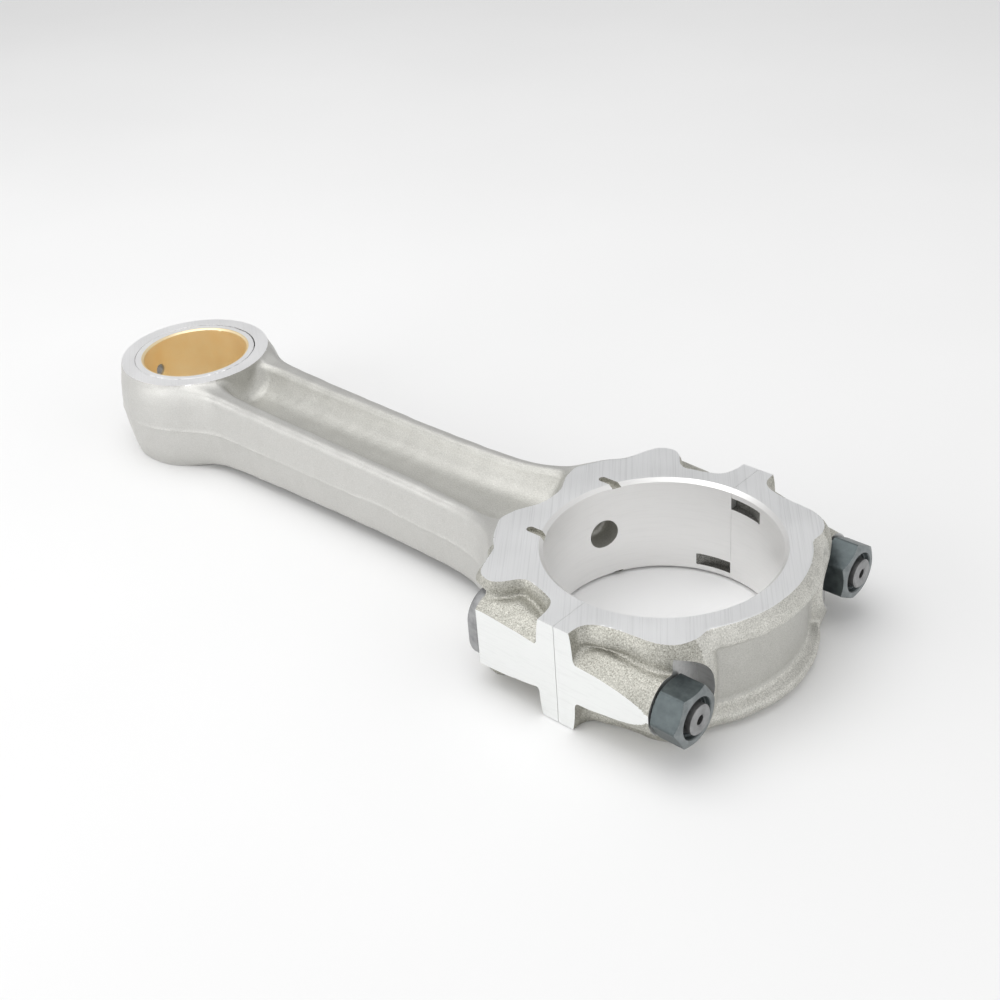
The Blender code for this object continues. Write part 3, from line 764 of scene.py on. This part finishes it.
# lighter oxide colour for the nuts' front faces and chamfers
OXIDE_END = dark_metal("black_oxide_lighter_front", (0.20, 0.22, 0.225), (0.30, 0.325, 0.33), 0.40, 0.3)
# bolt colour, also used as painted shade inside the centre hole at the bolt's end
BOLT = dark_metal("oiled_bolt_and_hole_shade", (0.13, 0.13, 0.13), (0.22, 0.22, 0.22), 0.42, 0.4)
BOLT_END = dark_metal("bolt_end", (0.26, 0.262, 0.265), (0.40, 0.402, 0.405), 0.45, 0.3)
BRONZE = bronze_metal()


# ---------------------------------------------------------------------------------------
# the two forgings
# ---------------------------------------------------------------------------------------
def paint_forging(obj, centres, terms, zones):
    """Give each face the finish of whatever bounds the forging at its centre; the notches carry
    painted shade, the cap flange and eye ring painted light.
    """
    mesh = obj.data
    x, y, z = centres.T
    best = np.full(len(centres), -1e9)
    which = np.zeros(len(centres), np.int32)
    for value, finish in terms(x, y, z):
        which = np.where(value > best, finish, which)
        best = np.maximum(best, value)
    which = zones(which, x, np.abs(y), np.abs(z))
    for finish in sorted(FINISHES):
        mesh.materials.append(FINISHES[finish])
    mesh.polygons.foreach_set("material_index", which.astype(np.int32))
    mesh.update()


def forging(name, terms, zones, x0, x1, body, node):
    """Fine mesh of a forging between two stations along x."""
    low, high = (x0, -44.0, -15.3), (x1, 44.0, 15.3)
    verts, quads = surface_mesh(field_of(terms), low, high, STEP)
    obj = mesh_object(name, verts, quads, body, node, HALF_WIDTH - INSIDE)
    paint_forging(obj, verts[quads].mean(axis=1), terms, zones)


forging("rod_forging_fine", rod_terms, rod_zones, -213.0, 1.5, "rod", "rod_forging")
forging("bearing_cap_fine", cap_terms, cap_zones, -1.5, 41.0, "cap", "bearing_cap")

# ---------------------------------------------------------------------------------------
# bush
# ---------------------------------------------------------------------------------------
BUSH_IN_R = 16.5
BUSH_OUT_R = 19.1
BUSH_SHIFT = (0.183, 0.052)  # pressed in a touch off centre
BUSH_SINK = 0.08             # below the ground faces
BUSH_REACH = 20.2


def bush_terms(x, y, z):
    """Ring that leaves a thin crescent of gap on one side of its bore."""
    flat = 0 * x + 0 * y + 0 * z
    r = np.hypot(x - EYE_X, y) + flat
    back = np.hypot(x - EYE_X + BUSH_SHIFT[0], y + BUSH_SHIFT[1]) + flat
    depth = MID - np.abs(z) - BUSH_SINK
    yield BUSH_IN_R - r, 0
    yield (BUSH_IN_R + 0.5 - depth - r) * SIN_45, 0
    yield back - BUSH_OUT_R, 0
    yield (back - (BUSH_OUT_R - 0.25) - depth) * SIN_45, 0
    yield np.abs(z) - (MID - BUSH_SINK) + flat, 0
    yield -oil_hole(x, y, z), 0


def small_end_bush():
    low = (EYE_X - BUSH_REACH, -BUSH_REACH, -15.3)
    high = (EYE_X + BUSH_REACH, BUSH_REACH, 15.3)
    verts, quads = surface_mesh(field_of(bush_terms), low, high, STEP)
    obj = mesh_object("small_end_bush_fine", verts, quads, "rod", "small_end_bush")
    obj.data.materials.append(BRONZE)


small_end_bush()


# ---------------------------------------------------------------------------------------
# bolts and nuts
# ---------------------------------------------------------------------------------------
def thread_wave(x, angle):
    """0 at the crest, 1 at the root of an M9 x 1 thread."""
    phase = (x / PITCH - angle / (2 * math.pi)) % 1.0
    return np.clip(1.2 * np.abs(2 * phase - 1) - 0.1, 0.0, 1.0)


class Turning:
    """Body round the x axis, built up station by station."""

    def __init__(self, steps):
        self.angle = 2 * math.pi * np.arange(steps) / steps
        self.xs, self.radii = [], []

    def station(self, x, radius):
        """Add a ring at x; the radius is one number or one for each angle."""
        self.xs.append(x)
        self.radii.append(np.broadcast_to(np.asarray(radius, float), self.angle.shape))

    def mesh(self, side, closed_ends):
        """Vertices about the bolt axis on the given side, and quads; open ends meet."""
        radii = np.array(self.radii)
        stations, steps = radii.shape
        x = np.repeat(np.asarray(self.xs)[:, None], steps, 1)
        verts = np.stack([x, radii * np.cos(self.angle), radii * np.sin(self.angle)], -1)
        idx = np.arange(stations * steps).reshape(stations, steps)
        nxt = np.roll(idx, -1, 1)
        faces = []
        for i in range(stations - 1 if closed_ends else stations):
            j = (i + 1) % stations
            faces.append(np.stack([idx[i], nxt[i], nxt[j], idx[j]], 1))
        return verts.reshape(-1, 3) + (0.0, side * BOLT_Y, 0.0), np.concatenate(faces)


SHANK_R = 4.4
THREAD_R = 4.5
RUNOUT_R = 4.1
THREAD_DEPTH = 0.55
THREAD_X0 = 12.9
THREAD_X1 = 34.5
BOLT_END_FACE_X = 36.0       # beyond this lies the bright end of the bolt; the centre hole sunk below it keeps the dark bolt colour as painted shade
# (x, radius) of the bolt's plain body, and of its tip with the centre hole
BOLT_BODY = ((-25.3, 0.02), (-25.3, 5.3), (-24.9, 4.75), (-24.2, SHANK_R), (12.0, SHANK_R),
             (12.6, RUNOUT_R))
BOLT_TIP = ((THREAD_X1, 3.88), (36.05, 3.85), (36.4, 3.5), (36.4, 1.6), (36.1, 1.25),
            (34.3, 1.2), (33.7, 0.02))


def rod_bolt(number, side):
    """Fitted body and rolled thread; the head is the oblong of the CAD bolt."""
    turning = Turning(96)
    for x, r in BOLT_BODY:
        turning.station(x, r)
    for x in np.arange(THREAD_X0, THREAD_X1, PITCH / 8):
        crest = THREAD_R - THREAD_DEPTH * thread_wave(x, turning.angle)
        fade = min(1.0, (x - THREAD_X0) / 1.2)
        tip = THREAD_R - max(0.0, x - 33.2) * 0.5
        turning.station(x, np.minimum(RUNOUT_R + (crest - RUNOUT_R) * fade, tip))
    for x, r in BOLT_TIP:
        turning.station(x, r)
    verts, faces = turning.mesh(side, True)
    obj = mesh_object("rod_bolt_%d_fine" % number, verts, faces, "rod",
                      "rod_bolt_%d" % number)
    obj.data.materials.append(BOLT)
    obj.data.materials.append(BOLT_END)
    # painted shade: the centre hole's inside keeps the dark bolt colour; only the end face and the
    # hole's rim turn bright
    for poly in obj.data.polygons:
        if poly.center.x > (BIG_X + BOLT_END_FACE_X) * MM:
            poly.material_index = 1
    bolt_head(number, side)


HEAD_HALF_Y = 7.4
HEAD_HALF_Z = 9.8
HEAD_CORNER_R = 7.2
# (x, inset) of the head from its outer face to the seat
HEAD_LEVELS = ((-28.9, 1.1), (-28.75, 0.55), (-28.4, 0.15), (-27.9, 0.0), (-25.6, 0.0),
               (-25.3, 0.2))


def head_outline():
    """Oblong with rounded corners, counter-clockwise in (y, z)."""
    steps = 10
    reach_y, reach_z = 0.2, 2.6
    outline = []
    for sy, sz, start in ((1, 1, 0), (-1, 1, 90), (-1, -1, 180), (1, -1, 270)):
        for i in range(steps + 1):
            a = math.radians(start + 90 * i / steps)
            outline.append((sy * reach_y + HEAD_CORNER_R * math.cos(a),
                            sz * reach_z + HEAD_CORNER_R * math.sin(a)))
    return outline


def bolt_head(number, side):
    """Oblong head with a soft forged edge."""
    bm = bmesh.new()
    loops = []
    for x, inset in HEAD_LEVELS:
        shrink_y = (HEAD_HALF_Y - inset) / HEAD_HALF_Y
        shrink_z = (HEAD_HALF_Z - inset) / HEAD_HALF_Z
        ring = []
        for y, z in head_outline():
            at = (BIG_X + x, side * BOLT_Y + y * shrink_y, MID + z * shrink_z)
            ring.append(bm.verts.new(Vector(at) * MM))
        loops.append(ring)
    for one, two in zip(loops, loops[1:]):
        for i in range(len(one)):
            j = (i + 1) % len(one)
            bm.faces.new((one[j], one[i], two[i], two[j]))
    bm.faces.new(loops[0])
    bm.faces.new(list(reversed(loops[-1])))
    bmesh.ops.recalc_face_normals(bm, faces=bm.faces)
    mesh = bpy.data.meshes.new("bolt_head")
    bm.to_mesh(mesh)
    bm.free()
    head = bpy.data.objects.new("rod_bolt_%d_head" % number, mesh)
    bpy.context.scene.collection.objects.link(head)
    mesh.shade_smooth()
    mesh.set_sharp_from_angle(angle=math.radians(30))
    mesh.materials.append(BOLT_END)
    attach(head, "rod")


NUT_HALF_FLATS = 7.0
NUT_FACE_R = 6.6             # where the chamfer meets the face
NUT_SINK_R = 5.3             # countersink
NUT_THREAD_R = 4.62
NUT_EDGE = 12                # sharpness of the hexagon's corners
NUT_CORNER_R = 8.0


def hexagon_radii(angle, first_corner):
    """Radius of the hexagon at each angle, its corners eased."""
    sixth = math.pi / 6
    sector = (angle - np.radians(first_corner) + sixth) % (2 * sixth) - sixth
    radii = NUT_HALF_FLATS / np.cos(np.abs(sector) - sixth)
    return -np.logaddexp(-radii * NUT_EDGE, -NUT_CORNER_R * NUT_EDGE) / NUT_EDGE


def cap_nut(number, side, first_corner):
    """Tall hexagon nut with chamfered corners, countersinks and its thread."""
    turning = Turning(240)
    hexagon = hexagon_radii(turning.angle, first_corner)
    low, high = NUT_X0, NUT_X1
    for x in np.linspace(low, low + 0.9, 7):
        turning.station(x, np.minimum(hexagon, NUT_FACE_R + 0.4 + (x - low) * 2.0))
    for x in np.linspace(high - 1.1, high, 12):
        turning.station(x, np.minimum(hexagon, NUT_FACE_R + (high - x) * 1.75))
    turning.station(high, 5.5)
    turning.station(high - 0.3, NUT_SINK_R)
    turning.station(high - 1.2, 5.05)
    for x in np.arange(high - 1.3, low + 0.45, -PITCH / 8):
        lead = min(high - x - 0.9, x - low)
        crest = NUT_THREAD_R + 0.45 * thread_wave(x + PITCH / 2, turning.angle)
        turning.station(x, np.maximum(crest, NUT_SINK_R - lead * 0.9))
    turning.station(low, NUT_SINK_R)
    verts, faces = turning.mesh(side, False)
    obj = mesh_object("cap_nut_%d_fine" % number, verts, faces, "nut_%d" % number,
                      "cap_nut_%d" % number)
    obj.data.materials.append(OXIDE)
    obj.data.materials.append(OXIDE_END)
    # the front face and its chamfer take the lighter oxide colour
    for poly in obj.data.polygons:
        if poly.normal.x > 0.3 and poly.center.x > (BIG_X + high - 1.25) * MM:
            poly.material_index = 1


rod_bolt(1, -1)
rod_bolt(2, 1)
cap_nut(1, -1, 0.6)
cap_nut(2, 1, 29.1)


# ---------------------------------------------------------------------------------------
# floor, light, camera
# ---------------------------------------------------------------------------------------
def pale_floor():
    bpy.ops.mesh.primitive_plane_add(size=6.0, location=(0, 0, -0.0002))
    floor = bpy.context.object
    floor.name = "floor"
    m = Nodes("pale_floor")
    cloud = m.noise(m.position(), 6.0, 2.0, 0.5)
    m.shade("Base Color", m.ramp(cloud, [(0.2, 0.86), (0.8, 0.90)]))
    m.shade("Roughness", 0.9)
    floor.data.materials.append(m.mat)


def studio_air():
    """Pale surroundings, a little darker towards the back left and above."""
    world = bpy.context.scene.world or bpy.data.worlds.new("studio")
    bpy.context.scene.world = world
    world.use_nodes = True
    air = world.node_tree
    sky = air.nodes["Background"]
    toward = air.nodes.new("ShaderNodeTexCoord")
    dim = air.nodes.new("ShaderNodeVectorMath")
    dim.operation = "DOT_PRODUCT"
    air.links.new(toward.outputs["Generated"], dim.inputs[0])
    dim.inputs[1].default_value = (-0.50, 0.50, 0.71)
    shade = air.nodes.new("ShaderNodeMapRange")
    shade.interpolation_type = "SMOOTHSTEP"
    for name, value in (("From Min", 0.25), ("From Max", 0.95), ("To Min", 0.74), ("To Max", 0.46)):
        shade.inputs[name].default_value = value
    air.links.new(dim.outputs["Value"], shade.inputs["Value"])
    air.links.new(shade.outputs["Result"], sky.inputs["Color"])
    sky.inputs["Strength"].default_value = 1.0


def softbox(name, at, target, size, glow):
    """Area light whose surface shines glow times as bright as plain white."""
    data = bpy.data.lights.new(name, "AREA")
    data.shape = "RECTANGLE"
    data.size, data.size_y = size
    data.energy = glow * math.pi * size[0] * size[1]
    obj = bpy.data.objects.new(name, data)
    obj.location = at
    obj.rotation_euler = (Vector(target) - Vector(at)).to_track_quat("-Z", "Y").to_euler()
    bpy.context.scene.collection.objects.link(obj)


CAM_AZ = math.radians(44.1175)
CAM_EL = math.radians(32.3306)
CAM_ROLL = math.radians(-4.5490)
CAM_DIST = 0.383486
SENSOR = 36.0
LENS = 53.437104
AIM = Vector((BIG_X - 41.9274, -13.5999, 32.9717)) * MM


def photo_camera():
    """Camera where the photographer stood, worked out from the object's outlines."""
    back = Vector((math.sin(CAM_AZ) * math.cos(CAM_EL),
                   -math.cos(CAM_AZ) * math.cos(CAM_EL),
                   math.sin(CAM_EL)))
    level = Vector((math.cos(CAM_AZ), math.sin(CAM_AZ), 0.0))
    upright = back.cross(level)
    right = level * math.cos(CAM_ROLL) + upright * math.sin(CAM_ROLL)
    up = upright * math.cos(CAM_ROLL) - level * math.sin(CAM_ROLL)
    data = bpy.data.cameras.new("camera")
    data.sensor_width = SENSOR
    data.lens = LENS
    data.clip_start = 0.01
    camera = bpy.data.objects.new("camera", data)
    place = Matrix((right, up, back)).transposed().to_4x4()
    place.translation = AIM + back * CAM_DIST
    camera.matrix_world = place
    bpy.context.scene.collection.objects.link(camera)
    bpy.context.scene.camera = camera


pale_floor()
studio_air()
softbox("overhead", (-0.12, -0.10, 0.75), (0, 0, 0), (0.8, 0.8), 1.6)
softbox("front_left", (-0.30, -0.75, 0.30), (0, 0, 0.02), (0.6, 0.5), 1.7)
softbox("right", (0.85, 0.10, 0.40), (0, 0, 0), (0.5, 0.5), 0.5)
photo_camera()
bpy.context.scene.view_settings.view_transform = "Standard"
